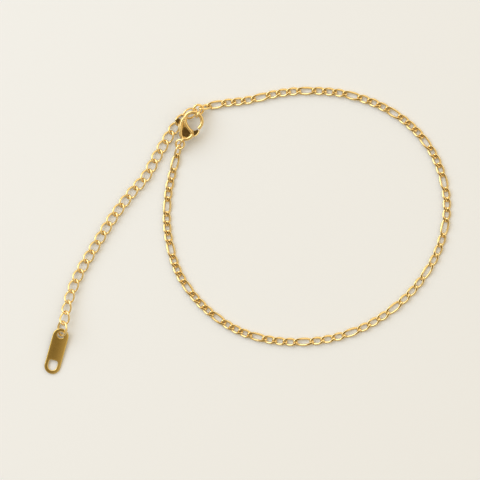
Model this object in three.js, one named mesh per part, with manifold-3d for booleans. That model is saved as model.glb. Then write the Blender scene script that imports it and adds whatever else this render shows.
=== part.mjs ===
// A gold-plated steel figaro chain anklet, laid out on a table as an open loop with its clasp fastened.
// Three small links and one long link repeat round the loop, and a curb-link extender ends in a flat tag.
// Millimetres and degrees, +Z up, with the table at z = 0.
import * as THREE from "three";
import { mergeVertices } from "three/addons/utils/BufferGeometryUtils.js";
import Module from "manifold-3d";

const wasm = await Module();
wasm.setup();

// Figaro chain. A pitch is a link's length between its neighbours when the chain is pulled tight.
const CHAIN_WIRE = 0.55;
const CHAIN_WIDTH = 2.15;
const CHAIN_THICKNESS = 0.86;
const SMALL_PITCH = 2.8;
const LONG_PITCH = 4.1;
const SMALL_LINKS_BETWEEN = 3;
const USUAL_PLAY = 0.3;
// Where two links of the pressed chain cross, their middle lines lie this share of the wire apart.
const CROSSING_SHARE = 1.03;
// The chain lies tighter in some stretches than in others: shares of its length, and how loose it lies there.
const PLAY_ALONG = [
  [0, 1.4],
  [0.1, 0.8],
  [0.2, 0.8],
  [0.28, 1.6],
  [0.38, 0.9],
  [0.48, 0.2],
  [0.56, 0.1],
  [0.64, 0.3],
  [0.72, 1.3],
  [0.8, 1.7],
  [0.9, 1.5],
  [1, 1],
];
// How square a long link's ends are: 1 is an ellipse, and less is squarer.
const LONG_LINK_CORNER = 0.82;
// Length over which the chain climbs from the table to its rings.
const CHAIN_CLIMB = [2.4, 4];
const RING_LIFTS = [0.2, 0.1];
// The end links are nearly plain ovals, tilted this much more than the others twist, to enter their rings.
const END_LINK_TILT = 7;

// Extender of loose curb links, from the loop's end ring to the tag's ring.
const EXTENDER_WIRE = 0.5;
const EXTENDER_WIDTH = 2.8;
const EXTENDER_PITCH = 2.99;
const EXTENDER_PLAY = 0.24;
const EXTENDER_CLEARANCE = 0.19;
const EXTENDER_REST = 0.66;
const EXTENDER_CLIMB = [7.5, 15.5];
// How far the links next to each ring are rolled over, counted from that ring.
const FIRST_ROLLS = [5, 14, 12, 6];
const LAST_ROLLS = [17, 27, 17, 6];

// Round rings, each by its outer diameter.
const RING_WIRE = 0.55;
const END_RING_WIRE = 0.62;
const END_RING_DIAMETER = 3.1;
const END_RING_SIZE = [END_RING_DIAMETER, END_RING_DIAMETER, END_RING_WIRE];
const CATCH_LINK_WIDTH = 2.35;
const CATCH_LINK_HEIGHT = 4;
const CATCH_LINK_SIZE = [CATCH_LINK_WIDTH, CATCH_LINK_HEIGHT, RING_WIRE, LONG_LINK_CORNER];
const CLASP_RING_DIAMETER = 2.75;
const CLASP_RING_SIZE = [CLASP_RING_DIAMETER, CLASP_RING_DIAMETER];
const TAG_RING_DIAMETER = 4.1;
const TAG_RING_SIZE = [TAG_RING_DIAMETER, TAG_RING_DIAMETER];

// Tag with a round hole for its ring and a rounded slot near its far end.
const TAG_LENGTH = 11.75;
const TAG_WIDTH = 4.05;
const TAG_THICKNESS = 0.5;
const TAG_BEVEL = 0.12;
const TAG_HOLE_DIAMETER = 1.7;
const TAG_HOLE_INSET = 1.65;
const TAG_SLOT_LENGTH = 2.6;
const TAG_SLOT_WIDTH = 2.2;
const TAG_SLOT_CORNER = 0.55;
const TAG_SLOT_INSET = 2.2;

// Clasp, measured from the middle of its round opening, with its eye at the bottom.
const CLASP_OPENING_DIAMETER = 3.6;
const CLASP_HOOK_WIDTH = 0.95;
const CLASP_HOOK_THICKNESS = 0.9;
const CLASP_BODY_REACH = 5;
const CLASP_BODY_THICKNESS = 1.5;
const CLASP_BEVEL = 0.2;
const CLASP_SLOT_HEIGHT = 0.62;
const CLASP_SLOT_FLOOR = 4.35;
const CLASP_SLOT_TOP = 0.9;
const CLASP_TIP_ANGLE = -24;
// The hook's tip and the gate meet at a slant, so that the gate swings inward past the tip.
const CLASP_TIP_SLANT = 6;
const HOOK_ROOT_ANGLE = 200;
const BODY_SHOULDER_ANGLE = 33;
const GATE_FOOT_ANGLE = 52;
const EYE_DIAMETER = 2;
const EYE_HOLE_DIAMETER = 1.1;
const EYE_THICKNESS = 0.75;
const LEVER_THICKNESS = 0.5;
const LEVER_WIDTH = 0.72;
const LEVER_GAP = 0.12;
const LEVER_HUB = 1.5;
const HUB_FROM = -30;
const HUB_TO = -140;
const PIVOT_ACROSS = -0.35;
const PIVOT_DOWN = 3.3;
const PIN_DIAMETER = 0.7;
const PIN_CLEARANCE = 0.06;
// The thumb tab stands out of the body's left side.
const TAB_REACH = 4.1;
const TAB_DOWN = 1.75;
const TAB_LENGTH = 1.3;
const TAB_WIDTH = 1.35;
const TAB_HEIGHT = 1;
// Sunk flat faces of the body, inside its raised rims.
const POCKET_DEPTH = 0.25;
const POCKET_RIM = 0.8;
const POCKET_ACROSS = 0.95;
const EYE_SINK = 0.1;

// Where the pieces lie on the table, as chosen by hand.
const END_RING_AT = [-11.86, 30, 1.55];
const END_RING_HEADING = 200;
const END_RING_ROLL = -22;
// From the middle of the clasp's eye to the middle of its ring, and from there to the last link.
const CLASP_RING_FROM_EYE = [-0.545369, -0.958122, -0.455001];
const LAST_LINK_FROM_RING = [-0.24, -0.58];
const CLASP_RING_HEADING = 56.8;
const CLASP_RING_RISE = 18;
const CLASP_RING_ROLL = -8;
const CLASP_AT = [-13.2, 27.04, 2.54];
const CLASP_HEADING = -30;
const CLASP_SLOPE = 5;
// The loop's middle line from the end ring round towards the clasp's ring.
const CHAIN_ROUTE = [
  [-11.12, 30.36],
  [-8.1, 31.25],
  [-3.5, 31.9],
  [0, 32.3],
  [7.9, 34.1],
  [15.3, 34.8],
  [25.2, 33.9],
  [34.9, 30.4],
  [42.1, 25.2],
  [47.5, 17.7],
  [50.2, 7],
  [48.5, -3.8],
  [43.4, -13],
  [36.2, -20.1],
  [27.9, -25],
  [18.5, -27.6],
  [8.6, -27.8],
  [-1.3, -25.4],
  [-10.1, -19.6],
  [-16.7, -11],
  [-19.6, -0.4],
  [-19.5, 8.7],
  [-17.8, 16.5],
];
// The extender's middle line from the end ring to the tag's ring.
const EXTENDER_ROUTE = [
  [-12.68, 29.7],
  [-15.0, 28.6],
  [-17.4, 26.2],
  [-19.62, 22.8],
  [-22.5, 17.97],
  [-24.97, 13.32],
  [-28.12, 9.82],
  [-33.05, 3.37],
  [-37.72, -4.17],
  [-42.07, -11.65],
  [-44.4, -17.9],
  [-45.4, -23.25],
];
const TAG_RING_AT = [-45.8, -24.55, 1.65];
const TAG_HOLE_AT = [-46.2, -26.2, 1.1];
const TAG_RING_RISE = -16;
const TAG_RING_ROLL = 48;
const TAG_HEADING = -105.6;
const TAG_RISE = -4.5;
const CATCH_LINK_AT = [-11.9, 28.87, 2.04];
const CATCH_LINK_HEADING = 60;

// Facets of the meshed rings and links.
const SMALL_LINK_STEPS = 10;
const LONG_LINK_STEPS = 12;
const EXTENDER_STEPS = 10;
const RING_STEPS = 12;
const WIRE_SIDES = 5;
const ROUTE_STEPS = 40;
// Half the turn over which a wire's direction is measured, in radians.
const TURN_STEP = 0.01;
const ARC_STEP = 20;
const PIN_SIDES = 12;

const GOLD = { color: 0xd9a441, metalness: 1, roughness: 0.22 };
const BODY_GOLD = { color: 0xcf9a3c, metalness: 1, roughness: 0.28 };

const radians = THREE.MathUtils.degToRad;
const degrees = THREE.MathUtils.radToDeg;
const UP = new THREE.Vector3(0, 0, 1);

function solidOf(geometry) {
  const plain = geometry.clone();
  plain.deleteAttribute("normal");
  plain.deleteAttribute("uv");
  const merged = mergeVertices(plain, 1e-4);
  return new wasm.Manifold(
    new wasm.Mesh({
      numProp: 3,
      vertProperties: merged.attributes.position.array,
      triVerts: new Uint32Array(merged.index.array),
    }),
  );
}

function geometryOf(solid) {
  const { vertProperties, triVerts, numProp } = solid.getMesh();
  const points = new Float32Array((vertProperties.length / numProp) * 3);
  for (let i = 0; i < points.length / 3; i++) {
    points.set(vertProperties.subarray(i * numProp, i * numProp + 3), i * 3);
  }
  const geometry = new THREE.BufferGeometry();
  geometry.setAttribute("position", new THREE.BufferAttribute(points, 3));
  geometry.setIndex(new THREE.BufferAttribute(new Uint32Array(triVerts), 1));
  geometry.computeVertexNormals();
  return geometry;
}

function piece(name, geometry, look = GOLD) {
  const mesh = new THREE.Mesh(geometry, new THREE.MeshStandardMaterial({ ...look, flatShading: true }));
  mesh.name = name;
  return mesh;
}

// Turns something that lies along +X to a heading, a rise and a roll about its own length.
function lay(object, at, heading, rise = 0, roll = 0) {
  object.rotation.set(radians(roll), -radians(rise), radians(heading), "ZYX");
  object.position.copy(at);
  return object;
}

// A wire bent into a closed loop: point(turn) gives its middle line, and flat presses its top and bottom.
function wireLoop(point, wire, steps, flat = Infinity) {
  const points = [];
  const index = [];
  for (let i = 0; i < steps; i++) {
    const turn = (2 * Math.PI * i) / steps;
    const middle = point(turn);
    const along = point(turn + TURN_STEP).sub(point(turn - TURN_STEP)).normalize();
    const side = new THREE.Vector3().crossVectors(along, UP).normalize();
    const above = new THREE.Vector3().crossVectors(side, along);
    for (let j = 0; j < WIRE_SIDES; j++) {
      const angle = (2 * Math.PI * (j + 0.5)) / WIRE_SIDES;
      const p = middle.clone();
      p.addScaledVector(above, (-wire / 2) * Math.cos(angle));
      p.addScaledVector(side, (wire / 2) * Math.sin(angle));
      points.push(p.x, p.y, THREE.MathUtils.clamp(p.z, -flat / 2, flat / 2));
      const next = (j + 1) % WIRE_SIDES;
      const here = i * WIRE_SIDES;
      const ahead = ((i + 1) % steps) * WIRE_SIDES;
      index.push(here + j, ahead + j, here + next, here + next, ahead + j, ahead + next);
    }
  }
  const geometry = new THREE.BufferGeometry();
  geometry.setAttribute("position", new THREE.Float32BufferAttribute(points, 3));
  geometry.setIndex(index);
  geometry.computeVertexNormals();
  return geometry;
}

// A curb link: an oval loop whose two ends are twisted opposite ways about its length.
function curbLink({ pitch, width, wire, twist, steps, flat, corner = 1 }) {
  const bend = (share) => Math.sign(share) * Math.abs(share) ** corner;
  const point = (turn) => {
    const along = bend(Math.cos(turn));
    const reach = ((width - wire) / 2) * bend(Math.sin(turn));
    const angle = -radians(twist) * along;
    return new THREE.Vector3(((pitch + wire) / 2) * along, reach * Math.cos(angle), reach * Math.sin(angle));
  };
  return wireLoop(point, wire, steps, flat);
}

function oval(length, width, wire, corner) {
  return curbLink({ pitch: length - 2 * wire, width, wire, twist: 0, steps: RING_STEPS, corner });
}

// The twist that sets crossing wires this far apart, middle to middle, where two links meet.
function crossingTwist({ pitch, width, wire, play, corner = 1 }, apart) {
  const share = (pitch - play) / (pitch + wire);
  const reach = ((width - wire) / 2) * (1 - share ** (2 / corner)) ** (corner / 2);
  return degrees(Math.asin(Math.min(apart / 2 / reach, 0.95))) / share;
}

// A smooth route through points on the table, lifted to its height and measured along its real length.
function routeCurve(points, height) {
  const plan = new THREE.CatmullRomCurve3(points.map(([x, y]) => new THREE.Vector3(x, y, 0)));
  plan.arcLengthDivisions = ROUTE_STEPS * points.length;
  const planLength = plan.getLength();
  const lifted = new THREE.Curve();
  lifted.arcLengthDivisions = plan.arcLengthDivisions;
  lifted.getPoint = (share) => {
    const p = plan.getPointAt(share);
    p.z = height(share * planLength, planLength);
    return p;
  };
  const length = lifted.getLength();
  return { length, at: (distance) => lifted.getPointAt(THREE.MathUtils.clamp(distance / length, 0, 1)) };
}

// Height of a chain that lies on the table and climbs to a ring at each end.
function climbing(rest, first, last, [firstReach, lastReach]) {
  return (distance, length) => {
    const fromStart = Math.max(0, 1 - distance / firstReach);
    const fromEnd = Math.max(0, 1 - (length - distance) / lastReach);
    return rest + (first - rest) * fromStart ** 2 + (last - rest) * fromEnd ** 2;
  };
}

// Puts each link between two neighbouring joints of the route.
function string(route, pitches, rolls) {
  let distance = 0;
  return pitches.map((pitch, i) => {
    const from = route.at(distance);
    distance += pitch;
    const to = route.at(distance);
    const step = to.clone().sub(from);
    const holder = new THREE.Object3D();
    const rise = degrees(Math.atan2(step.z, Math.hypot(step.x, step.y)));
    lay(holder, from.add(to).multiplyScalar(0.5), degrees(Math.atan2(step.y, step.x)), rise, rolls(i));
    holder.updateMatrix();
    return holder;
  });
}

// A table's value at a place between two of its rows.
function tableValue(table, place) {
  const next = table.findIndex(([at]) => at > place);
  const [[fromAt, from], [toAt, to]] = table.slice(next - 1, next + 1);
  return THREE.MathUtils.mapLinear(place, fromAt, toAt, from, to);
}

// Presses what would reach below the table up to its top.
function flattenedBelow(geometry) {
  const points = geometry.getAttribute("position");
  for (let i = 0; i < points.count; i++) {
    points.setZ(i, Math.max(points.getZ(i), 0));
  }
  return geometry;
}

function claspTurn() {
  return new THREE.Euler(radians(CLASP_SLOPE), 0, radians(CLASP_HEADING), "ZYX");
}

// The middle of the hole in the clasp's eye, in the clasp's own frame.
function eyeReach() {
  return -CLASP_BODY_REACH - EYE_HOLE_DIAMETER / 2 + EYE_SINK;
}

// Where the clasp's ring lies: it hangs from the eye, wherever that is.
function claspRingAt() {
  const eye = new THREE.Vector3(0, eyeReach(), 0).applyEuler(claspTurn()).add(new THREE.Vector3(...CLASP_AT));
  return eye.add(new THREE.Vector3(...CLASP_RING_FROM_EYE)).toArray();
}

function figaroChain() {
  const ringAt = claspRingAt();
  const lastPoint = LAST_LINK_FROM_RING.map((offset, i) => ringAt[i] + offset);
  const ringDrop = (CLASP_RING_DIAMETER / 2 - RING_WIRE) * Math.sin(radians(CLASP_RING_RISE));
  const first = END_RING_AT[2] + RING_LIFTS[0];
  const final = ringAt[2] - ringDrop + RING_LIFTS[1];
  const climb = climbing(CHAIN_THICKNESS / 2, first, final, CHAIN_CLIMB);
  const route = routeCurve([...CHAIN_ROUTE, lastPoint], climb);
  const period = SMALL_LINKS_BETWEEN * SMALL_PITCH + LONG_PITCH - (SMALL_LINKS_BETWEEN + 1) * USUAL_PLAY;
  const ends = 2 * SMALL_PITCH + LONG_PITCH - 3 * USUAL_PLAY;
  const repeats = Math.round((route.length - ends) / period);
  const isLong = [false];
  for (let i = 0; i < repeats; i++) isLong.push(true, ...Array(SMALL_LINKS_BETWEEN).fill(false));
  isLong.push(true, false);

  const tight = isLong.map((long) => (long ? LONG_PITCH : SMALL_PITCH));
  const slack = tight.reduce((sum, pitch) => sum + pitch, 0) - route.length;
  const looseness = isLong.map((_, i) => tableValue(PLAY_ALONG, (i + 0.5) / isLong.length));
  const total = looseness.reduce((sum, share) => sum + share, 0);
  const pitches = tight.map((pitch, i) => pitch - (slack * looseness[i]) / total);

  const last = isLong.length - 1;
  const tilt = (i) => (i === last ? 1 : 0) - (i === 0 ? 1 : 0);
  const links = isLong.map((long, i) => {
    const size = { width: CHAIN_WIDTH, wire: CHAIN_WIRE, pitch: tight[i], play: tight[i] - pitches[i] };
    const corner = long ? LONG_LINK_CORNER : 1;
    const twist = crossingTwist({ ...size, corner }, CROSSING_SHARE * CHAIN_WIRE);
    const steps = long ? LONG_LINK_STEPS : SMALL_LINK_STEPS;
    return { ...size, corner, twist, steps, flat: CHAIN_THICKNESS };
  });
  const rolls = (i) => tilt(i) * (links[i].twist + END_LINK_TILT);
  const solids = string(route, pitches, rolls).map((holder, i) => {
    const link = curbLink(tilt(i) ? { ...links[i], twist: -END_LINK_TILT } : links[i]);
    return solidOf(flattenedBelow(link.applyMatrix4(holder.matrix)));
  });
  return piece("figaro_chain", geometryOf(solids.reduce((joined, link) => joined.add(link))));
}

// Loose curb links from the end ring to the tag's ring, the first and last of them rolled to pass through.
function extenderLinks() {
  const ringRise = (TAG_RING_DIAMETER / 2 - RING_WIRE) * Math.sin(-radians(TAG_RING_RISE));
  const climb = climbing(EXTENDER_REST, END_RING_AT[2], TAG_RING_AT[2] + ringRise, EXTENDER_CLIMB);
  const route = routeCurve(EXTENDER_ROUTE, climb);
  const count = Math.round(route.length / (EXTENDER_PITCH - EXTENDER_PLAY));
  const play = EXTENDER_PITCH - route.length / count;
  const shape = { width: EXTENDER_WIDTH, wire: EXTENDER_WIRE, pitch: EXTENDER_PITCH, play };
  const twist = crossingTwist(shape, EXTENDER_WIRE + EXTENDER_CLEARANCE);
  const link = curbLink({ ...shape, twist, steps: EXTENDER_STEPS });
  const rolls = (i) => (FIRST_ROLLS[i] ?? 0) + (LAST_ROLLS[count - 1 - i] ?? 0);
  return string(route, Array(count).fill(route.length / count), rolls).map((holder, i) => {
    const mesh = piece("extender_link_" + String(i + 1).padStart(2, "0"), link);
    mesh.applyMatrix4(holder.matrix);
    return mesh;
  });
}

// A plain ring laid at a point: its own +X faces the heading, before a rise and a roll.
function ringAt(name, [length, width, wire = RING_WIRE, corner], at, heading, rise, roll) {
  return lay(piece(name, oval(length, width, wire, corner)), new THREE.Vector3(...at), heading, rise, roll);
}

// Points along an arc of an ellipse, from one angle in degrees to another.
function arc(x, y, radiusX, radiusY, from, to) {
  const steps = Math.max(1, Math.round(Math.abs(to - from) / ARC_STEP));
  return Array.from({ length: steps + 1 }, (_, i) => {
    const angle = radians(from + ((to - from) * i) / steps);
    return new THREE.Vector2(x + radiusX * Math.cos(angle), y + radiusY * Math.sin(angle));
  });
}

// An outline along X with one corner radius at its near end and another at its far end.
function roundedOutline(middle, length, width, near, far) {
  const left = middle - length / 2 + near;
  const right = middle + length / 2 - far;
  return [
    ...arc(right, far - width / 2, far, far, -90, 0),
    ...arc(right, width / 2 - far, far, far, 0, 90),
    ...arc(left, width / 2 - near, near, near, 90, 180),
    ...arc(left, near - width / 2, near, near, 180, 270),
  ].filter((p, i, all) => i === 0 || p.distanceTo(all[i - 1]) > 1e-3);
}

// A flat outline with its edges sloped off, its middle plane at z = 0.
function slab(outline, thickness, bevel, holes = []) {
  const shape = new THREE.Shape(outline);
  shape.holes.push(...holes.map((points) => new THREE.Path(points)));
  const geometry = new THREE.ExtrudeGeometry(shape, {
    depth: thickness - 2 * bevel,
    bevelEnabled: bevel > 0,
    bevelSize: bevel,
    bevelThickness: bevel,
    bevelOffset: -bevel,
    bevelSegments: 1,
  });
  return geometry.translate(0, 0, -thickness / 2 + bevel);
}

// The tag's own +X runs from its hole to its slot, and its own origin is the middle of the hole.
function tag() {
  const middle = TAG_LENGTH / 2 - TAG_HOLE_INSET;
  const slotAt = TAG_LENGTH - TAG_HOLE_INSET - TAG_SLOT_INSET;
  const outline = roundedOutline(middle, TAG_LENGTH, TAG_WIDTH, TAG_WIDTH / 2, TAG_WIDTH / 2);
  const hole = arc(0, 0, TAG_HOLE_DIAMETER / 2, TAG_HOLE_DIAMETER / 2, 0, 360).slice(1);
  const slot = roundedOutline(slotAt, TAG_SLOT_LENGTH, TAG_SLOT_WIDTH, TAG_SLOT_CORNER, TAG_SLOT_WIDTH / 2);
  const mesh = piece("tag", slab(outline, TAG_THICKNESS, TAG_BEVEL, [hole, slot]));
  return lay(mesh, new THREE.Vector3(...TAG_HOLE_AT), TAG_HEADING, TAG_RISE);
}

// An upright cylinder and a block about a point of the clasp's own plane.
function upright(diameter, height, x, y) {
  const geometry = new THREE.CylinderGeometry(diameter / 2, diameter / 2, height, PIN_SIDES);
  return geometry.rotateX(Math.PI / 2).translate(x, y, 0);
}

function block(width, length, height, x, y) {
  return new THREE.BoxGeometry(width, length, height).translate(x, y, 0);
}

const openingRadius = CLASP_OPENING_DIAMETER / 2;
const hookRadius = openingRadius + CLASP_HOOK_WIDTH;

// The hook runs from the body's left side over the top to its tip on the right.
function hookOutline() {
  return [
    ...arc(0, 0, hookRadius, hookRadius, CLASP_TIP_ANGLE - CLASP_TIP_SLANT, HOOK_ROOT_ANGLE),
    ...arc(0, 0, openingRadius, openingRadius, HOOK_ROOT_ANGLE, CLASP_TIP_ANGLE + CLASP_TIP_SLANT),
  ];
}

// The body narrows from the hook's width down to the eye, and the round opening cuts its upper edge.
function bodyOutline() {
  return [
    ...arc(0, 0, hookRadius, CLASP_BODY_REACH, 180, 360 - BODY_SHOULDER_ANGLE),
    ...arc(0, 0, openingRadius, openingRadius, -GATE_FOOT_ANGLE, -180),
  ];
}

// The sunk three-cornered faces on both sides of the body, inside its rims and clear of the round opening.
function pockets() {
  const through = 2 * CLASP_BODY_THICKNESS;
  const [wide, long] = [2 * hookRadius, 2 * CLASP_BODY_REACH];
  const inside = arc(0, 0, hookRadius - POCKET_RIM, CLASP_BODY_REACH - POCKET_RIM, 180, 360);
  return solidOf(slab(inside, through, 0))
    .subtract(solidOf(upright(CLASP_OPENING_DIAMETER + 2 * POCKET_RIM, through, 0, 0)))
    .subtract(solidOf(block(wide, long, through, POCKET_ACROSS + hookRadius, 0)))
    .subtract(solidOf(block(wide, long, CLASP_BODY_THICKNESS - 2 * POCKET_DEPTH, 0, 0)));
}

function claspBody() {
  const slotMiddle = -(CLASP_SLOT_FLOOR + CLASP_SLOT_TOP) / 2;
  const slotLength = CLASP_SLOT_FLOOR - CLASP_SLOT_TOP;
  const slot = block(3 * hookRadius, slotLength, CLASP_SLOT_HEIGHT, 0, slotMiddle);
  const eyeAt = eyeReach();
  const across = (geometry) => geometry.rotateY(Math.PI / 2).translate(0, eyeAt, 0);
  const eye = solidOf(across(upright(EYE_DIAMETER, EYE_THICKNESS, 0, 0))).subtract(
    solidOf(across(upright(EYE_HOLE_DIAMETER, 2 * EYE_THICKNESS, 0, 0))),
  );
  const pinHole = upright(PIN_DIAMETER + 2 * PIN_CLEARANCE, CLASP_BODY_THICKNESS, PIVOT_ACROSS, -PIVOT_DOWN);
  const solid = solidOf(slab(bodyOutline(), CLASP_BODY_THICKNESS, CLASP_BEVEL))
    .subtract(pockets())
    .subtract(solidOf(slot))
    .subtract(solidOf(pinHole))
    .add(solidOf(slab(hookOutline(), CLASP_HOOK_THICKNESS, CLASP_BEVEL)))
    .add(eye);
  return piece("clasp_body", geometryOf(solid), BODY_GOLD);
}

function claspPin() {
  const length = CLASP_BODY_THICKNESS - 2 * POCKET_DEPTH;
  return piece("clasp_pin", upright(PIN_DIAMETER, length, PIVOT_ACROSS, -PIVOT_DOWN), BODY_GOLD);
}

// The lever closes the gap under the hook's tip, and its thumb tab stands out of the body's left side.
function claspLever() {
  const gateRadius = openingRadius + CLASP_HOOK_WIDTH / 2;
  const tip = CLASP_TIP_ANGLE - degrees(LEVER_GAP / gateRadius);
  const outer = gateRadius + LEVER_WIDTH / 2;
  const inner = gateRadius - LEVER_WIDTH / 2;
  const hub = LEVER_HUB / 2;
  const tabAt = -TAB_REACH + TAB_LENGTH / 2;
  const outline = [
    ...arc(0, 0, inner, inner, -GATE_FOOT_ANGLE, tip + CLASP_TIP_SLANT),
    ...arc(0, 0, outer, outer, tip - CLASP_TIP_SLANT, -GATE_FOOT_ANGLE),
    ...arc(PIVOT_ACROSS, -PIVOT_DOWN, hub, hub, HUB_FROM, HUB_TO),
    new THREE.Vector2(tabAt, -TAB_DOWN - TAB_WIDTH / 4),
    new THREE.Vector2(tabAt, -TAB_DOWN + TAB_WIDTH / 4),
    new THREE.Vector2(PIVOT_ACROSS, -PIVOT_DOWN + hub),
  ];
  const hole = upright(PIN_DIAMETER + 2 * PIN_CLEARANCE, 2 * LEVER_THICKNESS, PIVOT_ACROSS, -PIVOT_DOWN);
  const tab = block(TAB_LENGTH, TAB_WIDTH, TAB_HEIGHT, tabAt, -TAB_DOWN);
  const solid = solidOf(slab(outline, LEVER_THICKNESS, 0)).subtract(solidOf(hole)).add(solidOf(tab));
  return piece("clasp_lever", geometryOf(solid), BODY_GOLD);
}

function clasp() {
  const group = new THREE.Group();
  group.add(claspBody(), claspLever(), claspPin());
  group.rotation.copy(claspTurn());
  group.position.set(...CLASP_AT);
  return group;
}

// Sets the finished anklet on the table with the middle of its outline over the origin.
function settle(group) {
  const box = new THREE.Box3().setFromObject(group, true);
  const middle = box.getCenter(new THREE.Vector3());
  group.position.set(-middle.x, -middle.y, -box.min.z);
  return group;
}

const anklet = new THREE.Group();
anklet.add(
  figaroChain(),
  ...extenderLinks(),
  ringAt("end_ring", END_RING_SIZE, END_RING_AT, END_RING_HEADING, 0, END_RING_ROLL),
  ringAt("catch_link", CATCH_LINK_SIZE, CATCH_LINK_AT, CATCH_LINK_HEADING, 0, 90),
  ringAt("clasp_ring", CLASP_RING_SIZE, claspRingAt(), CLASP_RING_HEADING, CLASP_RING_RISE, CLASP_RING_ROLL),
  ringAt("tag_ring", TAG_RING_SIZE, TAG_RING_AT, TAG_HEADING, TAG_RING_RISE, TAG_RING_ROLL),
  tag(),
  clasp(),
);

export default settle(anklet);
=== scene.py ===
"""A gold-plated steel figaro chain anklet, lying on a pale table as a closed loop."""
import math

import bpy
import numpy as np
from mathutils import Euler, Matrix, Vector


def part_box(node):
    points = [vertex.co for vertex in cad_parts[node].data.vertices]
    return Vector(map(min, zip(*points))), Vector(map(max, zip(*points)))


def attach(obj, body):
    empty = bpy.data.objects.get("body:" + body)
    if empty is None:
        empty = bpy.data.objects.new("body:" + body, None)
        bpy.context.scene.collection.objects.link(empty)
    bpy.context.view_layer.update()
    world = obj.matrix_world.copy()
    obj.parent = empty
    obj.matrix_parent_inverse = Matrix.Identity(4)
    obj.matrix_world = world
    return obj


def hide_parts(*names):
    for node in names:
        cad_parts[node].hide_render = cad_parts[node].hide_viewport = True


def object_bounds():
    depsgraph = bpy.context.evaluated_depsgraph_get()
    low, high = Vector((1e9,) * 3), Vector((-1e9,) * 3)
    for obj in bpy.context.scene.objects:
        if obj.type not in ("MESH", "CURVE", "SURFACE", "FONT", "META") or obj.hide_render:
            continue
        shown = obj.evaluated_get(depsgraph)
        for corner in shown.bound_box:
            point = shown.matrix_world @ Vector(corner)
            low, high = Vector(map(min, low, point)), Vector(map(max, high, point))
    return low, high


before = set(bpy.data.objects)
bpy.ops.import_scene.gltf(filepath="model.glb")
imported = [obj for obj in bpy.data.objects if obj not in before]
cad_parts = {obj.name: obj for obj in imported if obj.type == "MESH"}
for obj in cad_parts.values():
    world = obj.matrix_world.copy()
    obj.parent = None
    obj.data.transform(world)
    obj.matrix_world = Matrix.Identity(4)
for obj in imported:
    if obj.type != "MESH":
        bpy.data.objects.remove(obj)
cad_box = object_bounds()

# Sizes are in millimetres and degrees, and MM turns them into Blender's metres.
MM = 0.001

# Camera: straight down, with this much of the table across the square picture.
VIEW_WIDTH = 120
PICTURE = 480
PICTURE_ANCHOR = (246, 230)

# Figaro chain.
CHAIN_WIRE = 0.55
CHAIN_WIDTH = 2.15
CHAIN_THICKNESS = 0.86
SMALL_PITCH = 2.8
LONG_PITCH = 4.1
SMALL_LINKS_BETWEEN = 3
USUAL_PLAY = 0.3
CROSSING_SHARE = 1.03
STEEPEST_SINE = 0.95
PRESS_SOFTNESS = 0.03
# Shares of the chain's length, and how loose it lies there.
PLAY_ALONG = (
    (0, 1.4), (0.1, 0.8), (0.2, 0.8), (0.28, 1.6), (0.38, 0.9), (0.48, 0.2),
    (0.56, 0.1), (0.64, 0.3), (0.72, 1.3), (0.8, 1.7), (0.9, 1.5), (1, 1),
)
LONG_LINK_CORNER = 0.82
CHAIN_CLIMB = (2.4, 4)
RING_LIFTS = (0.2, 0.1)
END_LINK_TILT = 7

# Extender.
EXTENDER_WIRE = 0.5
EXTENDER_WIDTH = 2.8
EXTENDER_PITCH = 2.99
EXTENDER_CLEARANCE = 0.19
EXTENDER_REST = 0.66
EXTENDER_CLIMB = (7.5, 15.5)
EXTENDER_COUNT = 23
FIRST_ROLLS = (5, 14, 12, 6)
LAST_ROLLS = (17, 27, 17, 6)

# Rings, each by its outer size.
RING_WIRE = 0.55
END_RING_SIZE = (3.1, 3.1, 0.62)
CATCH_LINK_SIZE = (2.35, 4, RING_WIRE, LONG_LINK_CORNER)
CLASP_RING_SIZE = (2.75, 2.75, RING_WIRE)
TAG_RING_SIZE = (4.1, 4.1, RING_WIRE)

# Tag.
TAG_LENGTH = 11.75
TAG_WIDTH = 4.05
TAG_THICKNESS = 0.5
TAG_BEVEL = 0.2
# The tag's face is domed a little about a line off its middle.
TAG_DOME = 0.11
TAG_CROWN_AT = -1.3
TAG_HOLE_DIAMETER = 1.7
TAG_HOLE_INSET = 1.65
TAG_SLOT_LENGTH = 2.6
TAG_SLOT_WIDTH = 2.2
TAG_SLOT_CORNER = 0.55
TAG_SLOT_INSET = 2.2

# Clasp, measured from the middle of its round opening.
OPENING_RADIUS = 1.8
HOOK_WIDTH = 0.9
HOOK_THICKNESS = 0.9
BODY_REACH = 5
BODY_THICKNESS = 1.5
TIP_ANGLE = -24
HOOK_ROOT_ANGLE = 185
EYE_DIAMETER = 2
EYE_HOLE_DIAMETER = 1.1
PIVOT = (-0.35, -3.3)
PIN_DIAMETER = 0.7
# How square the sections of the hook and bands, and of the lever, are: 2 is round.
BAND_POWER = 2.2
LEVER_POWER = 2.6

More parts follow.
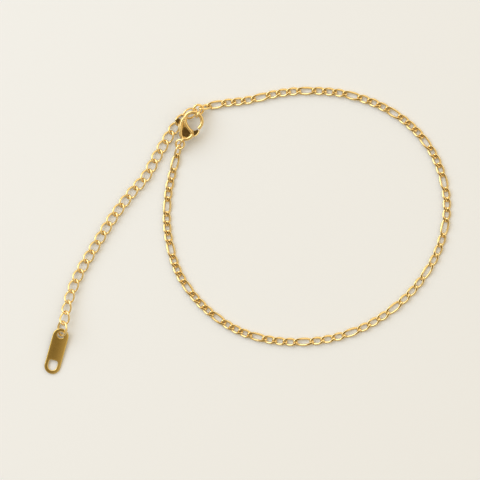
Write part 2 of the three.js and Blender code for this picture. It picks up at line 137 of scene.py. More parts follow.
# Places, as in the solids.
END_RING_AT = (-11.86, 30, 1.55)
END_RING_HEADING = 200
END_RING_ROLL = -22
CLASP_RING_AT = (-16.46, 21.38, 1.61)
CLASP_RING_HEADING = 56.8
CLASP_RING_RISE = 18
CLASP_RING_ROLL = -8
CLASP_AT = (-13.2, 27.04, 2.54)
CLASP_HEADING = -30
CLASP_SLOPE = 5
CATCH_LINK_AT = (-11.9, 28.87, 2.04)
CATCH_LINK_HEADING = 60
CATCH_LINK_ROLL = 90
TAG_RING_AT = (-45.8, -24.55, 1.65)
TAG_RING_RISE = -16
TAG_RING_ROLL = 48
TAG_HOLE_AT = (-46.2, -26.2, 1.1)
TAG_HEADING = -105.6
TAG_RISE = -4.5
CHAIN_ROUTE = (
    (-11.12, 30.36), (-8.1, 31.25), (-3.5, 31.9), (0, 32.3), (7.9, 34.1), (15.3, 34.8), (25.2, 33.9),
    (34.9, 30.4), (42.1, 25.2), (47.5, 17.7), (50.2, 7), (48.5, -3.8), (43.4, -13),
    (36.2, -20.1), (27.9, -25), (18.5, -27.6), (8.6, -27.8), (-1.3, -25.4), (-10.1, -19.6),
    (-16.7, -11), (-19.6, -0.4), (-19.5, 8.7), (-17.8, 16.5), (-16.7, 20.8),
)
EXTENDER_ROUTE = (
    (-12.68, 29.7), (-15.0, 28.6), (-17.4, 26.2), (-19.62, 22.8), (-22.5, 17.97), (-24.97, 13.32),
    (-28.12, 9.82), (-33.05, 3.37), (-37.72, -4.17), (-42.07, -11.65), (-44.4, -17.9), (-45.4, -23.25),
)

# Fineness of the meshes.
LINK_STEPS = 48
LINK_SIDES = 14
RING_STEPS = 64
RING_SIDES = 18
SPAN_STEPS = 40
BAND_STEPS = 60
BAND_SIDES = 20
RIM_STEPS = 24
ARM_STEPS = 30
EYE_STEPS = 48
EYE_SIDES = 16
PIN_STEPS = 32
TAG_VOXEL = 0.06
CLASP_VOXEL = 0.045
# The step along a loop over which its direction is measured.
SMALL_TURN = 0.01


def rotation(heading, rise=0, roll=0):
    return Euler([math.radians(a) for a in (roll, -rise, heading)], "XYZ").to_matrix()


def placed(at, heading, rise=0, roll=0):
    """The matrix that lays something along +X at a heading, a rise and a roll."""
    return Matrix.Translation(at) @ rotation(heading, rise, roll).to_4x4()


def frame_shift():
    """How far the CAD frame's places are from those above, measured at the clasp's pin."""
    low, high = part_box("clasp_pin")
    pivot = clasp_matrix() @ Vector((*PIVOT, 0))
    return (low + high) / 2 / MM - pivot


def clasp_matrix():
    turn = Euler((math.radians(CLASP_SLOPE), 0, math.radians(CLASP_HEADING)), "XYZ")
    return Matrix.Translation(CLASP_AT) @ turn.to_matrix().to_4x4()


SHIFT = frame_shift()


class Surface:
    """Vertices and faces gathered for one mesh, in millimetres."""

    def __init__(self):
        self.points = []
        self.faces = []
        self.count = 0

    def add(self, points, faces, matrix=Matrix.Identity(4)):
        m = np.array(matrix)
        self.points.append(points @ m[:3, :3].T + m[:3, 3])
        self.faces += [tuple(i + self.count for i in face) for face in faces]
        self.count += len(points)
        return self


def finish_piece(name, surface, body, material, slot, *nodes):
    """Makes the object, sets it in the frame and hides the CAD nodes it stands for."""
    mesh = bpy.data.meshes.new(name)
    points = (np.concatenate(surface.points) + np.array(SHIFT)) * MM
    mesh.from_pydata(points.tolist(), [], surface.faces)
    mesh.shade_smooth()
    dress(name, mesh, body, material, slot, *nodes)


def keep_inside(mesh):
    """Brings back to the solids' box what stands out of it by a hair."""
    places = np.empty(3 * len(mesh.vertices), np.float32)
    mesh.vertices.foreach_get("co", places)
    places = np.clip(places.reshape(-1, 3), *(np.array(corner) for corner in cad_box))
    mesh.vertices.foreach_set("co", places.ravel())


def dress(name, mesh, body, material, slot, *nodes):
    keep_inside(mesh)
    obj = bpy.data.objects.new(name, mesh)
    bpy.context.scene.collection.objects.link(obj)
    mesh.materials.clear()
    mesh.materials.append(material)
    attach(obj, body)
    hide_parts(*nodes)


def soft_press(z, half):
    """Flattens what stands out past half a thickness, with a small round edge."""
    size = np.abs(z)
    return np.sign(z) * -PRESS_SOFTNESS * np.logaddexp(-size / PRESS_SOFTNESS, -half / PRESS_SOFTNESS)


def wire_loop(middle, wire, steps, sides, flat=None):
    """A wire bent into a closed loop, whose top and bottom may be pressed flat."""
    turn = np.linspace(0, 2 * np.pi, steps, endpoint=False)
    along = middle(turn + SMALL_TURN) - middle(turn - SMALL_TURN)
    along /= np.linalg.norm(along, axis=1)[:, None]
    side = np.cross(along, (0, 0, 1))
    side /= np.linalg.norm(side, axis=1)[:, None]
    above = np.cross(side, along)
    angle = 2 * np.pi * (np.arange(sides) + 0.5) / sides
    points = middle(turn)[:, None, :] + wire / 2 * (
        -np.cos(angle)[None, :, None] * above[:, None, :] + np.sin(angle)[None, :, None] * side[:, None, :]
    )
    points = points.reshape(-1, 3)
    if flat:
        points[:, 2] = soft_press(points[:, 2], flat / 2)
    return points, closed_faces(steps, sides)


def closed_faces(steps, sides):
    faces = []
    for i in range(steps):
        for j in range(sides):
            ahead, beside = (i + 1) % steps, (j + 1) % sides
            faces.append((i * sides + j, ahead * sides + j, ahead * sides + beside, i * sides + beside))
    return faces


def curb_link(pitch, width, wire, twist, flat=None, corner=1, steps=LINK_STEPS, sides=LINK_SIDES):
    """An oval loop whose two ends are twisted opposite ways about its length."""

    def bend(share):
        return np.sign(share) * np.abs(share) ** corner

    def middle(turn):
        along = bend(np.cos(turn))
        angle = -math.radians(twist) * along
        reach = (width - wire) / 2 * bend(np.sin(turn))
        return np.stack([(pitch + wire) / 2 * along, reach * np.cos(angle), reach * np.sin(angle)], axis=1)

    return wire_loop(middle, wire, steps, sides, flat)


def oval(length, width, wire, corner=1):
    return curb_link(length - 2 * wire, width, wire, 0, None, corner, RING_STEPS, RING_SIDES)


def crossing_twist(pitch, width, wire, play, apart, corner=1):
    share = (pitch - play) / (pitch + wire)
    reach = (width - wire) / 2 * (1 - share ** (2 / corner)) ** (corner / 2)
    return math.degrees(math.asin(min(apart / 2 / reach, STEEPEST_SINE))) / share


class Route:
    """A smooth curve through points on the table, measured by its length."""

    def __init__(self, points, height):
        self.points = np.array(points, float)
        self.shares = np.linspace(0, 1, SPAN_STEPS * len(points) + 1)
        plan = np.array([self.curve(s) for s in self.shares])
        reached = self.travelled(plan)
        self.heights = np.array([height(distance, reached[-1]) for distance in reached])
        self.lengths = self.travelled(np.column_stack([plan, self.heights]))
        self.length = self.lengths[-1]

    @staticmethod
    def travelled(places):
        steps = np.linalg.norm(np.diff(places, axis=0), axis=1)
        return np.concatenate([[0], np.cumsum(steps)])

    def curve(self, share):
        """The centripetal curve's point at this share of its spans."""
        p = self.points
        spans = len(p) - 1
        span = min(int(share * spans), spans - 1)
        weight = share * spans - span
        p1, p2 = p[span], p[span + 1]
        p0 = p[span - 1] if span else 2 * p1 - p2
        p3 = p[span + 2] if span + 2 <= spans else 2 * p2 - p1
        d0, d1, d2 = (math.sqrt(np.linalg.norm(b - a)) for a, b in ((p0, p1), (p1, p2), (p2, p3)))
        t1 = ((p1 - p0) / d0 - (p2 - p0) / (d0 + d1) + (p2 - p1) / d1) * d1
        t2 = ((p2 - p1) / d1 - (p3 - p1) / (d1 + d2) + (p3 - p2) / d2) * d1
        square = -3 * p1 + 3 * p2 - 2 * t1 - t2
        cube = 2 * p1 - 2 * p2 + t1 + t2
        return p1 + weight * (t1 + weight * (square + weight * cube))

    def at(self, distance):
        x, y = self.curve(np.interp(distance, self.lengths, self.shares))
        return Vector((x, y, np.interp(distance, self.lengths, self.heights)))


def climbing(rest, first, last, reaches):
    def height(distance, length):
        from_start = max(0, 1 - distance / reaches[0])
        from_end = max(0, 1 - (length - distance) / reaches[1])
        return rest + (first - rest) * from_start**2 + (last - rest) * from_end**2

    return height


def strung(route, pitches, rolls):
    """The matrix of each link, between two neighbouring joints of the route."""
    distance = 0
    for i, pitch in enumerate(pitches):
        start = route.at(distance)
        distance += pitch
        step = route.at(distance) - start
        rise = math.degrees(math.atan2(step.z, math.hypot(step.x, step.y)))
        yield placed(start + step / 2, math.degrees(math.atan2(step.y, step.x)), rise, rolls(i))


def figaro_chain(material):
    ring_drop = (CLASP_RING_SIZE[0] / 2 - RING_WIRE) * math.sin(math.radians(CLASP_RING_RISE))
    first_height = END_RING_AT[2] + RING_LIFTS[0]
    last_height = CLASP_RING_AT[2] - ring_drop + RING_LIFTS[1]
    route = Route(CHAIN_ROUTE, climbing(CHAIN_THICKNESS / 2, first_height, last_height, CHAIN_CLIMB))
    period = SMALL_LINKS_BETWEEN * SMALL_PITCH + LONG_PITCH - (SMALL_LINKS_BETWEEN + 1) * USUAL_PLAY
    ends = 2 * SMALL_PITCH + LONG_PITCH - 3 * USUAL_PLAY
    repeats = round((route.length - ends) / period)
    is_long = [False] + ([True] + [False] * SMALL_LINKS_BETWEEN) * repeats + [True, False]
    count = len(is_long)

    tight = [LONG_PITCH if long else SMALL_PITCH for long in is_long]
    slack = sum(tight) - route.length
    looseness = np.interp((np.arange(count) + 0.5) / count, *zip(*PLAY_ALONG))
    plays = slack * looseness / looseness.sum()
    pitches = [pitch - play for pitch, play in zip(tight, plays)]

    corners = [LONG_LINK_CORNER if long else 1 for long in is_long]
    twists = [
        crossing_twist(tight[i], CHAIN_WIDTH, CHAIN_WIRE, plays[i], CROSSING_SHARE * CHAIN_WIRE, corners[i])
        for i in range(count)
    ]
    tilts = [-1] + [0] * (count - 2) + [1]

    def rolls(i):
        return tilts[i] * (twists[i] + END_LINK_TILT)

    surface = Surface()
    for i, matrix in enumerate(strung(route, pitches, rolls)):
        twist = -END_LINK_TILT if tilts[i] else twists[i]
        surface.add(*curb_link(tight[i], CHAIN_WIDTH, CHAIN_WIRE, twist, CHAIN_THICKNESS, corners[i]), matrix)
    # No link dips into the table.
    points = np.concatenate(surface.points)
    points[:, 2] = np.maximum(points[:, 2], 0)
    surface.points = [points]
    finish_piece("figaro_links", surface, "anklet", material, "chain_gold", "figaro_chain")


def extender(material):
    ring_rise = (TAG_RING_SIZE[0] / 2 - RING_WIRE) * math.sin(-math.radians(TAG_RING_RISE))
    climb = climbing(EXTENDER_REST, END_RING_AT[2], TAG_RING_AT[2] + ring_rise, EXTENDER_CLIMB)
    route = Route(EXTENDER_ROUTE, climb)
    pitch = route.length / EXTENDER_COUNT
    apart = EXTENDER_WIRE + EXTENDER_CLEARANCE
    twist = crossing_twist(EXTENDER_PITCH, EXTENDER_WIDTH, EXTENDER_WIRE, EXTENDER_PITCH - pitch, apart)
    link = curb_link(EXTENDER_PITCH, EXTENDER_WIDTH, EXTENDER_WIRE, twist)

    def rolls(i):
        back = EXTENDER_COUNT - 1 - i
        first = FIRST_ROLLS[i] if i < len(FIRST_ROLLS) else 0
        return first + (LAST_ROLLS[back] if back < len(LAST_ROLLS) else 0)

    for i, matrix in enumerate(strung(route, [pitch] * EXTENDER_COUNT, rolls)):
        number = f"{i + 1:02d}"
        surface = Surface().add(*link, matrix)
        piece, node = f"curb_link_{number}", f"extender_link_{number}"
        finish_piece(piece, surface, "anklet", material, "chain_gold", node)


def ring(name, node, size, at, heading, rise, roll, material):
    surface = Surface().add(*oval(*size), placed(at, heading, rise, roll))
    finish_piece(name, surface, "anklet", material, "chain_gold", node)


def rings(material):
    end_turn = (END_RING_HEADING, 0, END_RING_ROLL)
    catch_turn = (CATCH_LINK_HEADING, 0, CATCH_LINK_ROLL)
    eye_turn = (CLASP_RING_HEADING, CLASP_RING_RISE, CLASP_RING_ROLL)
    tag_turn = (TAG_HEADING, TAG_RING_RISE, TAG_RING_ROLL)
    ring("loop_end_ring", "end_ring", END_RING_SIZE, END_RING_AT, *end_turn, material)
    ring("hook_link", "catch_link", CATCH_LINK_SIZE, CATCH_LINK_AT, *catch_turn, material)
    ring("clasp_end_ring", "clasp_ring", CLASP_RING_SIZE, CLASP_RING_AT, *eye_turn, material)
    ring("tag_end_ring", "tag_ring", TAG_RING_SIZE, TAG_RING_AT, *tag_turn, material)


def arc(x, y, radius_x, radius_y, start, end, step=5):
    count = max(1, round(abs(end - start) / step))
    angles = np.radians(np.linspace(start, end, count + 1))
    return [(x + radius_x * math.cos(a), y + radius_y * math.sin(a)) for a in angles]


def rounded_outline(middle, length, width, near, far):
    left = middle - length / 2 + near
    right = middle + length / 2 - far
    outline = [
        *arc(right, far - width / 2, far, far, -90, 0),
        *arc(right, width / 2 - far, far, far, 0, 90),
        *arc(left, width / 2 - near, near, near, 90, 180),
        *arc(left, near - width / 2, near, near, 180, 270),
    ]
    return [p for i, p in enumerate(outline) if math.dist(p, outline[i - 1]) > 1e-3]


def plate_mesh(name, outlines, thickness, bevel):
    """A flat plate with rounded edges and holes, from its outlines, in millimetres."""
    curve = bpy.data.curves.new(name, "CURVE")
    curve.dimensions = "2D"
    curve.fill_mode = "BOTH"
    curve.extrude = thickness / 2 - bevel
    curve.bevel_depth = bevel
    curve.bevel_resolution = 3
    curve.offset = -bevel
    for outline in outlines:
        spline = curve.splines.new("POLY")
        spline.points.add(len(outline) - 1)
        for point, (x, y) in zip(spline.points, outline):
            point.co = (x, y, 0, 1)
        spline.use_cyclic_u = True
    holder = bpy.data.objects.new(name, curve)
    bpy.context.scene.collection.objects.link(holder)
    return made_mesh(holder)


def made_mesh(holder):
    """The mesh of a helper object with its modifiers applied; the helper goes."""
    bpy.context.view_layer.update()
    graph = bpy.context.evaluated_depsgraph_get()
    mesh = bpy.data.meshes.new_from_object(holder.evaluated_get(graph))
    bpy.data.objects.remove(holder)
    return mesh


def skinned(mesh, voxel, smoothing):
    """Gives a closed mesh one even, slightly eased skin."""
    holder = bpy.data.objects.new(mesh.name, mesh)
    bpy.context.scene.collection.objects.link(holder)
    remesh = holder.modifiers.new("skin", "REMESH")
    remesh.mode = "VOXEL"
    remesh.voxel_size = voxel
    smooth = holder.modifiers.new("ease", "SMOOTH")
    smooth.iterations = smoothing
    smooth.factor = 0.5
    return made_mesh(holder)


def tag(material):
    middle = TAG_LENGTH / 2 - TAG_HOLE_INSET
    slot_at = TAG_LENGTH - TAG_HOLE_INSET - TAG_SLOT_INSET
    outlines = [
        rounded_outline(middle, TAG_LENGTH, TAG_WIDTH, TAG_WIDTH / 2, TAG_WIDTH / 2),
        arc(0, 0, TAG_HOLE_DIAMETER / 2, TAG_HOLE_DIAMETER / 2, 0, 355),
        rounded_outline(slot_at, TAG_SLOT_LENGTH, TAG_SLOT_WIDTH, TAG_SLOT_CORNER, TAG_SLOT_WIDTH / 2),
    ]
    mesh = skinned(plate_mesh("end_tag", outlines, TAG_THICKNESS, TAG_BEVEL), voxel=TAG_VOXEL, smoothing=2)
    for vertex in mesh.vertices:
        vertex.co.z -= TAG_DOME * (2 * (vertex.co.y - TAG_CROWN_AT) / TAG_WIDTH) ** 2
    mesh.transform(placed(TAG_HOLE_AT, TAG_HEADING, TAG_RISE))
    mesh.transform(Matrix.Scale(MM, 4) @ Matrix.Translation(SHIFT))
    mesh.shade_smooth()
    dress("end_tag", mesh, "anklet", material, "tag_gold", "tag")


def swept(path, widths, heights, power=LEVER_POWER, sides=BAND_SIDES):
    """A closed band along a flat path: each section is a rounded box of its own width and height."""
    path = np.column_stack([path, np.zeros(len(path))])
    along = np.gradient(path, axis=0)
    along /= np.linalg.norm(along, axis=1)[:, None]
    side = np.cross(along, (0, 0, 1))
    side /= np.linalg.norm(side, axis=1)[:, None]
    above = np.cross(side, along)
    angle = 2 * np.pi * np.arange(sides) / sides
    across = np.sign(np.cos(angle)) * np.abs(np.cos(angle)) ** (2 / power)
    upward = np.sign(np.sin(angle)) * np.abs(np.sin(angle)) ** (2 / power)
    widths = np.broadcast_to(widths, len(path))
    heights = np.broadcast_to(heights, len(path))
    points = (
        path[:, None, :]
        + (widths / 2)[:, None, None] * across[None, :, None] * side[:, None, :]
        + (heights / 2)[:, None, None] * upward[None, :, None] * above[:, None, :]
    ).reshape(-1, 3)
    faces = []
    for i in range(len(path) - 1):
        for j in range(sides):
            k = (j + 1) % sides
            faces.append((i * sides + j, i * sides + k, (i + 1) * sides + k, (i + 1) * sides + j))
    faces.append(tuple(reversed(range(sides))))
    last = (len(path) - 1) * sides
    faces.append(tuple(range(last, last + sides)))
    return points, faces


def smooth_path(points, count=BAND_STEPS):
    route = Route(points, lambda distance, length: 0)
    return np.array([route.at(route.length * s)[:2] for s in np.linspace(0, 1, count)])


# The share of a band that its rounding takes at each end, and how narrow the very end gets.
END_ROUNDING = 0.075
NARROWEST_SQUARED = 0.02


def rounded_ends(count, size):
    """Widths that close in at both ends of a band, so that it ends round."""
    share = np.linspace(0, 1, count)
    inset = np.clip(np.minimum(share, 1 - share) / END_ROUNDING, 0, 1)
    return size * np.sqrt(np.clip(1 - (1 - inset) ** 2, NARROWEST_SQUARED, 1))


def prism(outline, low, high):
    n = len(outline)
    points = np.array([(x, y, z) for z in (low, high) for x, y in outline])
    faces = [tuple(reversed(range(n))), tuple(range(n, 2 * n))]
    faces += [(i, (i + 1) % n, n + (i + 1) % n, n + i) for i in range(n)]
    return points, faces


def fused_mesh(name, parts, voxel, smoothing):
    """Joins overlapping solids into one smooth skin, in millimetres."""
    surface = Surface()
    for points, faces in parts:
        surface.add(points, faces)
    mesh = bpy.data.meshes.new(name)
    mesh.from_pydata(np.concatenate(surface.points).tolist(), [], surface.faces)
    return skinned(mesh, voxel, smoothing)


def set_clasp_mesh(name, mesh, body, material, *nodes):
    mesh.transform(Matrix.Scale(MM, 4) @ Matrix.Translation(SHIFT) @ clasp_matrix())
    mesh.shade_smooth()
    dress(name, mesh, body, material, "clasp_gold", *nodes)


HOOK_MIDDLE = OPENING_RADIUS + HOOK_WIDTH / 2
HOOK_OUTER = OPENING_RADIUS + HOOK_WIDTH

# The raised bands of the clasp's face, as points on their middle lines.
CROSS_BAND = (
    (-2.28, 0.3), (-2.1, -0.6), (-1.58, -1.15), (-0.94, -1.68), (-0.13, -2.1), (0.68, -2.4), (1.3, -2.75),
)
LEFT_BAND = (
    (-2.38, -0.2), (-2.4, -1.25), (-2.12, -2.26), (-1.68, -3.15), (-1.2, -4.0), (-0.75, -4.6), (-0.1, -4.9),
)
RIGHT_BAND = ((1.45, -2.8), (1.52, -3.25), (1.4, -3.75), (1.12, -4.25), (0.75, -4.65), (0.2, -4.9))
BAND_WIDTH = 0.98
# The cross band thickens from the hook to the body, faster by this much.
CROSS_SWELL = 1.3
# The thin plate between the bands, and how far it stays inside the clasp's outline.
WEB_THICKNESS = 0.7
WEB_SIDE_INSET = 0.4
WEB_END_INSET = 0.3
WEB_OPENING_INSET = 0.25
WEB_END_ANGLE = 325
WEB_OPENING_ANGLES = (-60, -175)
# The face between the bands that is painted near-black as shade, and how far over the plate it still counts.
SUNK_FACE = ((-1.3, -2.25), (-1.1, -3.5), (-0.5, -4.5), (0.7, -4.2), (1.2, -3.5), (0.7, -2.7), (-0.8, -2.3))
SUNK_DEPTH_SPARE = 0.12
# How deep the eye is sunk into the body, and how much its wire is thickened.
EYE_SINK = 0.1
EYE_WIRE_SPARE = 0.1


def clasp_body(material, painted_shade):
    hook = arc(0, 0, HOOK_MIDDLE, HOOK_MIDDLE, TIP_ANGLE, HOOK_ROOT_ANGLE, 3)
    cross = smooth_path(CROSS_BAND)
    left = smooth_path(LEFT_BAND)
    right = smooth_path(RIGHT_BAND)
    web_radius = OPENING_RADIUS + WEB_OPENING_INSET
    web_reach = (HOOK_OUTER - WEB_SIDE_INSET, BODY_REACH - WEB_END_INSET)
    web = [
        *arc(0, 0, *web_reach, HOOK_ROOT_ANGLE, WEB_END_ANGLE, 6),
        *arc(0, 0, web_radius, web_radius, *WEB_OPENING_ANGLES, 6),
    ]
    eye_at = -BODY_REACH - EYE_HOLE_DIAMETER / 2 + EYE_SINK
    eye_radius = (EYE_DIAMETER + EYE_HOLE_DIAMETER) / 4
    turn = np.linspace(0, 2 * np.pi, EYE_STEPS, endpoint=False)
    eye = np.stack([0 * turn, eye_at + eye_radius * np.cos(turn), eye_radius * np.sin(turn)], axis=1)
    eye_wire = (EYE_DIAMETER - EYE_HOLE_DIAMETER) / 2
    growth = np.linspace(HOOK_THICKNESS, BODY_THICKNESS, len(cross))
    cross_heights = np.minimum(growth * CROSS_SWELL, BODY_THICKNESS)
    parts = [
        swept(hook, HOOK_WIDTH, HOOK_THICKNESS, power=BAND_POWER),
        swept(cross, rounded_ends(len(cross), BAND_WIDTH), cross_heights, power=BAND_POWER),
        swept(left, rounded_ends(len(left), BAND_WIDTH), BODY_THICKNESS, power=BAND_POWER),
        swept(right, rounded_ends(len(right), BAND_WIDTH), BODY_THICKNESS, power=BAND_POWER),
        prism(web, -WEB_THICKNESS / 2, WEB_THICKNESS / 2),
        ring_about_x(eye, eye_wire + EYE_WIRE_SPARE),
    ]
    mesh = fused_mesh("clasp_shell", parts, voxel=CLASP_VOXEL, smoothing=4)
    # The low face between the bands gets painted shade.
    sunk = [face.index for face in mesh.polygons if is_sunk(face.center)]
    set_clasp_mesh("clasp_shell", mesh, "anklet", material, "clasp_body")
    painted_shade_faces(mesh, sunk, painted_shade)


def painted_shade_faces(mesh, faces, painted_shade):
    """Gives some faces of a dressed mesh the near-black gold that paints shade on them."""
    mesh.materials.append(painted_shade)
    for index in faces:
        mesh.polygons[index].material_index = 1


def is_sunk(place):
    """Whether a point of the clasp's skin lies low between its bands."""
    if abs(place.z) > WEB_THICKNESS / 2 + SUNK_DEPTH_SPARE:
        return False
    inside = False
    for (x1, y1), (x2, y2) in zip(SUNK_FACE, SUNK_FACE[1:] + SUNK_FACE[:1]):
        if (y1 > place.y) != (y2 > place.y) and place.x < x1 + (place.y - y1) * (x2 - x1) / (y2 - y1):
            inside = not inside
    return inside


def ring_about_x(path, wire, sides=EYE_SIDES):
    """A closed round wire ring whose axis lies across the clasp."""
    centre = path.mean(axis=0)
    out = path - centre
    out /= np.linalg.norm(out, axis=1)[:, None]
    across = np.array([1.0, 0, 0])
    angle = 2 * np.pi * np.arange(sides) / sides
    points = path[:, None, :] + wire / 2 * (
        np.cos(angle)[None, :, None] * out[:, None, :] + np.sin(angle)[None, :, None] * across
    )
    return points.reshape(-1, 3), closed_faces(len(path), sides)


# The thumb tab's corners and height, and where the tab begins along the clasp's width.
TAB_CORNERS = ((-4.0, -2.05), (-3.75, -1.1), (-2.95, -1.15), (-2.8, -2.4), (-3.2, -2.4))
TAB_HEIGHT = 0.96
TAB_FROM = -2.8
# The gate that closes the hook, seen between its tip and the body.
GATE_CORNERS = (
    (1.95, -1.12), (2.42, -1.38), (2.52, -1.75), (2.4, -2.25), (2.1, -2.8), (1.6, -3.0), (1.2, -2.5),
    (1.3, -1.95), (1.7, -1.6),
)
GATE_HEIGHT = 0.56
GATE_RIM = ((2.44, -1.15), (2.6, -1.65), (2.56, -2.3), (2.3, -2.85), (1.95, -3.2))
RIM_WIDTH = 0.3
RIM_HEIGHT = 0.8
# The lever's two arms, from its pin to the gate and to the tab.
ARM = ((1.3, -2.2), (0.6, -2.9), PIVOT)
ARM_WIDTH = 0.8
TAIL = (PIVOT, (-1.6, -2.4), (-3.1, -1.75))
TAIL_WIDTH = 0.7
ARM_HEIGHT = 0.48
# Faces this level, and as low as this on the gate, are painted near-black as shade, as are the tab's level
# faces.
LEVEL_NORMAL = 0.9
LOW_FACE = 0.3
# How far the pin stands out of the plate below, and stays back in it above.
PIN_STANDS_OUT = 0.02
PIN_STANDS_BACK = 0.05


def clasp_lever(material, painted_shade):
    parts = [
        prism(GATE_CORNERS[::-1], -GATE_HEIGHT / 2, GATE_HEIGHT / 2),
        swept(smooth_path(GATE_RIM, RIM_STEPS), RIM_WIDTH, RIM_HEIGHT),
        swept(smooth_path(ARM, ARM_STEPS), ARM_WIDTH, ARM_HEIGHT),
        swept(smooth_path(TAIL, ARM_STEPS), TAIL_WIDTH, ARM_HEIGHT),
        prism(TAB_CORNERS[::-1], -TAB_HEIGHT / 2, TAB_HEIGHT / 2),
    ]
    mesh = fused_mesh("clasp_gate", parts, voxel=CLASP_VOXEL, smoothing=3)

    # Level faces low on the gate, and level faces of the tab, get painted shade.
    def looks_painted_shade(face):
        on_gate = face.center.x > 0 and abs(face.center.z) < LOW_FACE
        return abs(face.normal.z) > LEVEL_NORMAL and (on_gate or face.center.x < TAB_FROM)

    flat = [face.index for face in mesh.polygons if looks_painted_shade(face)]
    set_clasp_mesh("clasp_gate", mesh, "lever", material, "clasp_lever")
    painted_shade_faces(mesh, flat, painted_shade)


# The rivet is drawn in the near-black gold: painted shade for its sunk place in the plate.
def clasp_pin(material):
    angles = np.linspace(0, 2 * np.pi, PIN_STEPS, endpoint=False)
    radius = PIN_DIAMETER / 2
    outline = [(PIVOT[0] + radius * math.cos(a), PIVOT[1] + radius * math.sin(a)) for a in angles]
    points, faces = prism(outline, -WEB_THICKNESS / 2 - PIN_STANDS_OUT, WEB_THICKNESS / 2 - PIN_STANDS_BACK)
    mesh = bpy.data.meshes.new("clasp_rivet")
    mesh.from_pydata(points.tolist(), [], faces)
    set_clasp_mesh("clasp_rivet", mesh, "anklet", material, "clasp_pin")


# Each gold's colour and roughness. Two stand in for shade: a near-black gold painted on the clasp's dark
# places, and a darkened gold for the tag.
GOLDS = {
    "chain_gold": ((0.92, 0.71, 0.34), 0.12),
    "clasp_gold": ((0.88, 0.66, 0.3), 0.2),
    # Near-black gold: painted shade for the clasp's hollow between the bands, its gate, tab and rivet.
    "painted_shade_gold": ((0.18, 0.11, 0.035), 0.35),
    # A darker, more olive copy of the chain's gold: painted shade on the tag's face.
    "tag_gold": ((0.72, 0.53, 0.18), 0.16),
}
# How much a gold's tone and gloss vary, and how deep its fine dents are.
TONES = (0.94, 1.05)
GRAIN = 0.6
DENT = 0.02
DENT_STRENGTH = 0.25
# The noises, each by its scale and detail, and the span that most of their values lie in.
DRIFT = (450, 3)
WEAR = (2600, 4)
NOISE_SPAN = (0.3, 0.7)


def gold(name, colour, roughness):
    """Polished gold plating: its tone drifts a little, and fine wear breaks up the shine."""
    material = bpy.data.materials.new(name)
    material.use_nodes = True
    nodes, links = material.node_tree.nodes, material.node_tree.links
    shader = nodes["Principled BSDF"]
    shader.inputs["Metallic"].default_value = 1
    place = nodes.new("ShaderNodeTexCoord")

    def noise(scale, detail):
        node = nodes.new("ShaderNodeTexNoise")
        node.inputs["Scale"].default_value = scale
        node.inputs["Detail"].default_value = detail
        links.new(place.outputs["Object"], node.inputs["Vector"])
        return node

    drift = noise(*DRIFT)
    tone = nodes.new("ShaderNodeMix")
    tone.data_type = "RGBA"
    tone.inputs["A"].default_value = (*(c * TONES[0] for c in colour), 1)
    tone.inputs["B"].default_value = (*(min(c * TONES[1], 1) for c in colour), 1)
    links.new(drift.outputs["Fac"], tone.inputs["Factor"])
    links.new(tone.outputs["Result"], shader.inputs["Base Color"])

    wear = noise(*WEAR)
    spread = nodes.new("ShaderNodeMapRange")
    spread.inputs["From Min"].default_value = NOISE_SPAN[0]
    spread.inputs["From Max"].default_value = NOISE_SPAN[1]
    spread.inputs["To Min"].default_value = roughness * (1 - GRAIN / 2)
    spread.inputs["To Max"].default_value = roughness * (1 + GRAIN / 2)
    links.new(wear.outputs["Fac"], spread.inputs["Value"])
    links.new(spread.outputs["Result"], shader.inputs["Roughness"])

    bump = nodes.new("ShaderNodeBump")
    bump.inputs["Strength"].default_value = DENT_STRENGTH
    bump.inputs["Distance"].default_value = DENT * MM
    links.new(wear.outputs["Fac"], bump.inputs["Height"])
    links.new(bump.outputs["Normal"], shader.inputs["Normal"])
    return material


# The table, in metres, and its look.
TABLE_REACH = 2.0
TABLE_COLOUR = (0.795, 0.84, 0.93)
TABLE_ROUGHNESS = 0.6
TABLE_SPECULAR = 0.2


def floor():
    corners = [(x * TABLE_REACH, y * TABLE_REACH, 0) for x, y in ((-1, -1), (1, -1), (1, 1), (-1, 1))]
    mesh = bpy.data.meshes.new("table_top")
    mesh.from_pydata(corners, [], [(0, 1, 2, 3)])
    obj = bpy.data.objects.new("table_top", mesh)
    bpy.context.scene.collection.objects.link(obj)
    material = bpy.data.materials.new("pale_table")
    material.use_nodes = True
    shader = material.node_tree.nodes["Principled BSDF"]
    shader.inputs["Base Color"].default_value = (*TABLE_COLOUR, 1)
    shader.inputs["Roughness"].default_value = TABLE_ROUGHNESS
    shader.inputs["Specular IOR Level"].default_value = TABLE_SPECULAR
    mesh.materials.append(material)


# The lamp, in metres and watts.
LAMP_AT = (-0.7, 0.45, 0.7)
LAMP_SIZE = 1.2
LAMP_POWER = 7
LAMP_COLOUR = (0.78, 0.9, 1.0)


def lamp():
    """A cool round lamp towards the upper left, like a window."""
    data = bpy.data.lights.new("window", "AREA")
    data.shape = "DISK"
    data.size = LAMP_SIZE
    data.energy = LAMP_POWER
    data.color = LAMP_COLOUR
    obj = bpy.data.objects.new("window", data)
    obj.location = LAMP_AT
    obj.rotation_euler = Vector(LAMP_AT).to_track_quat("Z", "Y").to_euler()
    bpy.context.scene.collection.objects.link(obj)


# The warm light by how high it comes from, from the horizon at 0 to straight above at 1.
WARM_LIGHT = (
    (0.0, (0.5, 0.42, 0.28)),
    (0.3, (1.2, 1.03, 0.76)),
    (0.6, (1.55, 1.33, 0.98)),
    (0.9, (1.35, 1.13, 0.79)),
    (0.965, (0.66, 0.5, 0.28)),
    (0.99, (0.25, 0.175, 0.06)),
    (1.0, (0.12, 0.08, 0.02)),
)
# Its strength, and how much that grows along each axis.
LIGHT_STRENGTH = 0.68
LIGHT_LEAN = (0.15, 0.4, 0)


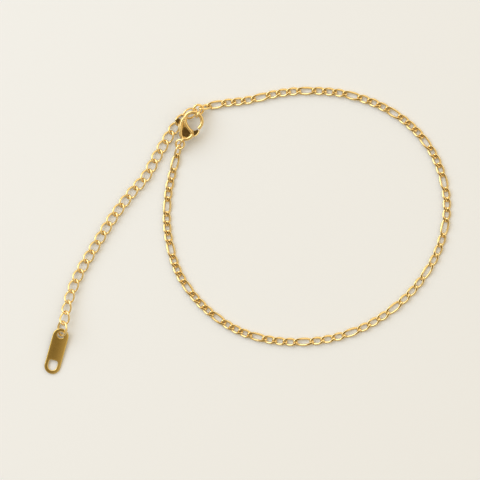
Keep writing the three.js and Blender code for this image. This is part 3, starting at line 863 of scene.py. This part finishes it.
def surroundings():
    """Warm walls, brighter towards +Y, and a dim ceiling, for the gold to mirror."""
    world = bpy.data.worlds.new("studio")
    bpy.context.scene.world = world
    world.use_nodes = True
    nodes, links = world.node_tree.nodes, world.node_tree.links
    back = nodes["Background"]
    place = nodes.new("ShaderNodeTexCoord")
    split = nodes.new("ShaderNodeSeparateXYZ")
    ramp = nodes.new("ShaderNodeValToRGB")
    elements = ramp.color_ramp.elements
    while len(elements) < len(WARM_LIGHT):
        elements.new(0.5)
    for element, (position, colour) in zip(elements, WARM_LIGHT):
        element.position = position
        element.color = (*colour, 1)
    links.new(place.outputs["Generated"], split.inputs["Vector"])
    links.new(split.outputs["Z"], ramp.inputs["Fac"])
    links.new(ramp.outputs["Color"], back.inputs["Color"])

    toward = nodes.new("ShaderNodeVectorMath")
    toward.operation = "DOT_PRODUCT"
    toward.inputs[1].default_value = LIGHT_LEAN
    share = nodes.new("ShaderNodeMath")
    share.inputs[1].default_value = LIGHT_STRENGTH
    links.new(place.outputs["Generated"], toward.inputs[0])
    links.new(toward.outputs["Value"], share.inputs[0])
    links.new(share.outputs["Value"], back.inputs["Strength"])


# The camera's lens and sensor, in millimetres, and how near and far it sees, in metres.
LENS = 180
SENSOR = 36
SIGHT = (0.01, 10)


def camera():
    data = bpy.data.cameras.new("camera")
    data.lens = LENS
    data.sensor_width = SENSOR
    data.clip_start, data.clip_end = SIGHT
    obj = bpy.data.objects.new("camera", data)
    height = VIEW_WIDTH * LENS / SENSOR
    scale = VIEW_WIDTH / PICTURE
    x = (PICTURE / 2 - PICTURE_ANCHOR[0]) * scale + SHIFT.x
    y = (PICTURE_ANCHOR[1] - PICTURE / 2) * scale + SHIFT.y
    obj.location = Vector((x, y, height)) * MM
    bpy.context.scene.collection.objects.link(obj)
    bpy.context.scene.camera = obj


def main():
    camera()
    surroundings()
    lamp()
    floor()
    bpy.context.scene.view_settings.view_transform = "Standard"
    chain_gold, clasp_gold, painted_shade_gold, tag_gold = (gold(name, *look) for name, look in GOLDS.items())
    figaro_chain(chain_gold)
    extender(chain_gold)
    rings(chain_gold)
    tag(tag_gold)
    clasp_body(clasp_gold, painted_shade_gold)
    clasp_lever(clasp_gold, painted_shade_gold)
    clasp_pin(painted_shade_gold)


main()
